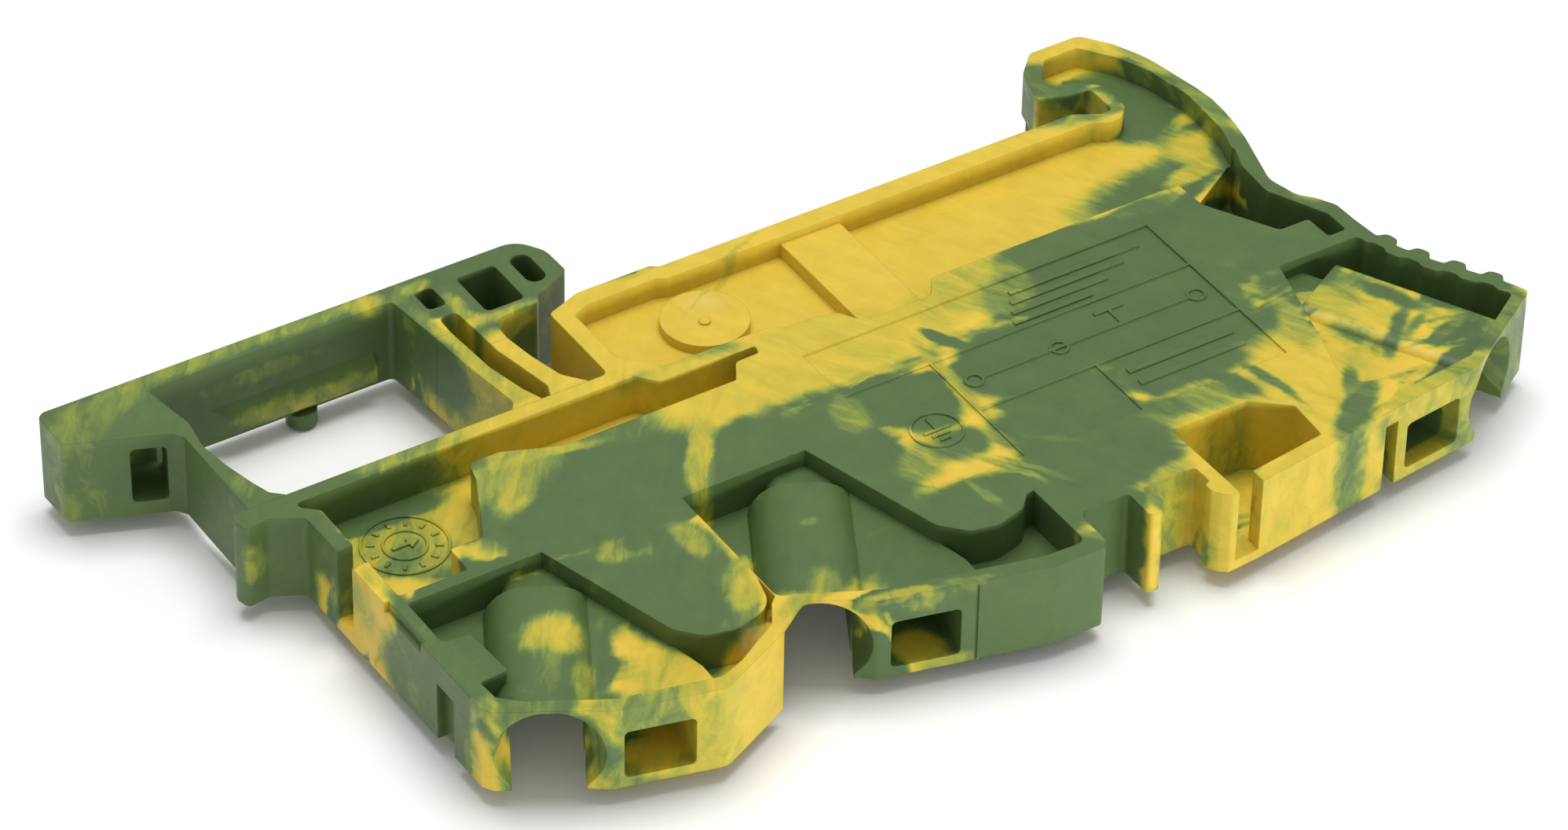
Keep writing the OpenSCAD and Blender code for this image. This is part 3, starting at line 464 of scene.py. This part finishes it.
def plastic(t, colour, rough, normal):
    shader = t.principled(colour, rough, normal)
    shader.inputs["IOR"].default_value = 1.5
    shader.inputs["Specular IOR Level"].default_value = 0.36
    shader.inputs["Subsurface Weight"].default_value = SOFT_LIGHT
    shader.inputs["Subsurface Radius"].default_value = (1.0, 0.75, 0.25)
    shader.inputs["Subsurface Scale"].default_value = SOFT_DEPTH
    return shader.outputs[0]


def join_beyond(t, x, border, before, after):
    """The surface before the border, and another one beyond it."""
    beyond = t.math("GREATER_THAN", x, border)
    joined = t.add("ShaderNodeMixShader")
    t.put(joined.inputs[0], beyond)
    t.put(joined.inputs[1], before)
    t.put(joined.inputs[2], after)
    return joined.outputs[0]


def marbled_moulding(name, attribute=None, stretch=(-FAR, FAR)):
    material = bpy.data.materials.new(name)
    t = Tree(material)
    mm = rest_millimetres(t, attribute)
    place = bent_place(t, mm)
    base = swirls(t, place)
    fray = feathers(t, place)
    # faint clouding of the pigment
    cloud = t.noise(mm, 0.5, 4.0, 0.6)
    shade = t.ramp(cloud.outputs["Fac"], [(0.3, (0.92, 0.92, 0.92)), (0.7, (1.04, 1.04, 1.04))])
    rough, normal = mould_skin(t, mm)
    x = t.split(place)[0]

    surface = None
    for low, high in zip(BANDS, BANDS[1:]):
        if high < stretch[0] or low > stretch[1]:
            continue
        field = base
        for row in STROKES:
            stroke = Stroke(*row)
            if reaches(stroke, max(low, stretch[0]), min(high, stretch[1])):
                field = lay_stroke(t, field, place, stroke)
        colour = pigment_colour(t, field, fray, shade)
        painted = plastic(t, colour, rough, normal)
        surface = join_beyond(t, x, low, surface, painted) if surface else painted
    t.finish(surface)
    return material


# ---- metal ----


def metal(name, light, dark, rough, along):
    """Sheet metal with rolling marks along one direction."""
    material = bpy.data.materials.new(name)
    t = Tree(material)
    mm = rest_millimetres(t)
    lines = t.noise(t.mapping(mm, scale=along), 6.0, 5.0, 0.7).outputs["Fac"]
    patches = t.noise(mm, 0.7, 3.0, 0.55).outputs["Fac"]
    tone = t.math("MULTIPLY_ADD", lines, 0.5, t.math("MULTIPLY", patches, 0.5))
    colour = t.ramp(tone, [(0.35, dark), (0.65, light)])
    gloss = t.span(lines, 0.3, 0.7, rough[0], rough[1], smooth=False)
    shader = t.principled(colour, gloss, t.bump(lines, 0.2, 0.00002))
    shader.inputs["Metallic"].default_value = 1.0
    t.finish(shader.outputs[0])
    return material


FINISH = {
    "marbled_body": marbled_moulding("marbled_moulding"),
    "clamp_steel": metal(
        "spring_steel", light=(0.60, 0.60, 0.61), dark=(0.36, 0.36, 0.37),
        rough=(0.22, 0.36), along=(0.3, 2.0, 2.0)),
    "foot_steel": metal(
        "zinc_plated_foot", light=(0.56, 0.57, 0.58), dark=(0.34, 0.35, 0.36),
        rough=(0.30, 0.46), along=(0.4, 2.0, 2.0)),
    "tinned_bar": metal(
        "tinned_bar", light=(0.70, 0.70, 0.69), dark=(0.48, 0.48, 0.47),
        rough=(0.26, 0.40), along=(0.4, 2.5, 1.0)),
}
leaf_moulding = marbled_moulding("marbled_leaf", REST_PLACE, LEAF_STRETCH)
SLOT = {part["node"]: part["material_slot"] for part in frame["record"]["subparts"]}
LEAVES = ["latch_leaf_outer", "latch_leaf_middle", "latch_leaf_inner"]


# ---- shading of the CAD nodes ----

# corners closer than this, in metres, are one corner
WELD = 0.0000005
# edges that turn more than this stay crisp
CREASE = math.radians(26)


def soft_shading_group():
    """Joins split corners and shades curved walls smoothly, with crisp edges elsewhere."""
    group = bpy.data.node_groups.new("smooth_by_angle", "GeometryNodeTree")
    group.interface.new_socket("Geometry", in_out="INPUT", socket_type="NodeSocketGeometry")
    group.interface.new_socket("Geometry", in_out="OUTPUT", socket_type="NodeSocketGeometry")
    group.is_modifier = True
    nodes, links = group.nodes, group.links
    source = nodes.new("NodeGroupInput")
    target = nodes.new("NodeGroupOutput")
    weld = nodes.new("GeometryNodeMergeByDistance")
    weld.inputs["Distance"].default_value = WELD
    links.new(source.outputs[0], weld.inputs[0])
    face = nodes.new("GeometryNodeSetShadeSmooth")
    face.domain = "FACE"
    links.new(weld.outputs[0], face.inputs[0])
    angle = nodes.new("GeometryNodeInputMeshEdgeAngle")
    compare = nodes.new("FunctionNodeCompare")
    compare.data_type = "FLOAT"
    compare.operation = "GREATER_THAN"
    compare.inputs[1].default_value = CREASE
    links.new(angle.outputs[0], compare.inputs[0])
    edge = nodes.new("GeometryNodeSetShadeSmooth")
    edge.domain = "EDGE"
    links.new(face.outputs[0], edge.inputs[0])
    links.new(compare.outputs[0], edge.inputs["Selection"])
    edge.inputs["Shade Smooth"].default_value = False
    links.new(edge.outputs[0], target.inputs[0])
    return group


smooth_group = soft_shading_group()


def finish_mesh(obj, material):
    obj.data.materials.clear()
    obj.data.materials.append(material)
    if "custom_normal" in obj.data.attributes:
        obj.data.attributes.remove(obj.data.attributes["custom_normal"])
    obj.modifiers.new("Soft shading", "NODES").node_group = smooth_group


for name, node in frame["nodes"].items():
    if name not in LEAVES:
        finish_mesh(node, FINISH[SLOT[name]])


# ---- latch leaves, sliced copies in place of the CAD leaves ----

LEAF_SLICES = 24
# a slice that passes this close to a corner goes through it, in metres
SLICE_MARGIN = 0.0000001


def bending_leaf(name):
    """The leaf's own outline cut into many slices along its length, so that it can bend."""
    mesh = frame["nodes"][name].data.copy()
    mesh.name = name + "_bending"
    b = bmesh.new()
    b.from_mesh(mesh)
    bmesh.ops.remove_doubles(b, verts=b.verts, dist=WELD)
    low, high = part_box(name)
    for i in range(1, LEAF_SLICES):
        y = low.y + (high.y - low.y) * i / LEAF_SLICES
        bmesh.ops.bisect_plane(b, geom=b.verts[:] + b.edges[:] + b.faces[:], dist=SLICE_MARGIN,
                               plane_co=(0, y, 0), plane_no=(0, 1, 0))
    b.to_mesh(mesh)
    b.free()
    place = mesh.attributes.new(REST_PLACE, "FLOAT_VECTOR", "POINT")
    for i, vertex in enumerate(mesh.vertices):
        place.data[i].vector = vertex.co
    obj = bpy.data.objects.new(name + "_bending", mesh)
    bpy.context.scene.collection.objects.link(obj)
    finish_mesh(obj, leaf_moulding)
    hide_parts(name)
    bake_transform(obj)


for leaf in LEAVES:
    bending_leaf(leaf)


# ---- floor ----

FLOOR_HALF = 2.0
# gap under the object, in metres
FLOOR_GAP = 0.0002
FLOOR_COLOUR = (0.97, 0.97, 0.97)


def pale_floor():
    material = bpy.data.materials.new("pale_floor")
    t = Tree(material)
    place = t.add("ShaderNodeTexCoord").outputs["Object"]
    speckle = t.noise(place, 40.0, 2.0, 0.5)
    darker = tuple(c * 0.985 for c in FLOOR_COLOUR)
    tone = t.ramp(speckle.outputs["Fac"], [(0.3, darker), (0.7, FLOOR_COLOUR)])
    t.finish(t.principled(tone, 0.8).outputs[0])
    return material


floor_mesh = bpy.data.meshes.new("floor")
corners = [(-1, -1), (1, -1), (1, 1), (-1, 1)]
floor_mesh.from_pydata([(x * FLOOR_HALF, y * FLOOR_HALF, 0) for x, y in corners], [], [(0, 1, 2, 3)])
floor = bpy.data.objects.new("floor", floor_mesh)
floor.location = (0, 0, cad_box[0][2] - FLOOR_GAP)
bpy.context.scene.collection.objects.link(floor)
floor_mesh.materials.append(pale_floor())


# ---- light ----

world = bpy.data.worlds.new("soft_room")
world.use_nodes = True
back = world.node_tree.nodes["Background"]
back.inputs["Color"].default_value = (1.0, 1.0, 1.0, 1.0)
back.inputs["Strength"].default_value = 0.46
bpy.context.scene.world = world


def softbox(name, place, aim, size, power):
    data = bpy.data.lights.new(name, "AREA")
    data.shape = "RECTANGLE"
    data.size, data.size_y = size
    data.energy = power
    light = bpy.data.objects.new(name, data)
    light.location = place
    light.rotation_euler = (Vector(aim) - Vector(place)).to_track_quat("-Z", "Y").to_euler()
    bpy.context.scene.collection.objects.link(light)


softbox("key", place=(0.05, 0.06, 0.55), aim=(0, 0, 0), size=(0.40, 0.30), power=2.3)
softbox("front", place=(0.10, -0.50, 0.038), aim=(0, 0, 0.003), size=(0.40, 0.05), power=1.3)


# ---- camera ----

CAMERA_PLACE = Vector((-0.1482, -0.2246, 0.2190))
CAMERA_AIM = Vector((-0.00314, -0.0013, 0.00595))
CAMERA_ROLL = math.radians(1.11)

camera_data = bpy.data.cameras.new("camera")
camera_data.sensor_fit = "HORIZONTAL"
camera_data.sensor_width = 36.0
camera_data.lens = 152.7
camera_data.clip_start = 0.01
camera_data.clip_end = 10.0
camera = bpy.data.objects.new("camera", camera_data)
facing = (CAMERA_AIM - CAMERA_PLACE).to_track_quat("-Z", "Y")
turned = (facing @ Quaternion((0, 0, 1), CAMERA_ROLL)).to_matrix().to_4x4()
camera.matrix_world = Matrix.Translation(CAMERA_PLACE) @ turned
bpy.context.scene.collection.objects.link(camera)
bpy.context.scene.camera = camera

bpy.context.scene.view_settings.view_transform = "Standard"
bpy.context.scene.view_settings.look = "None"
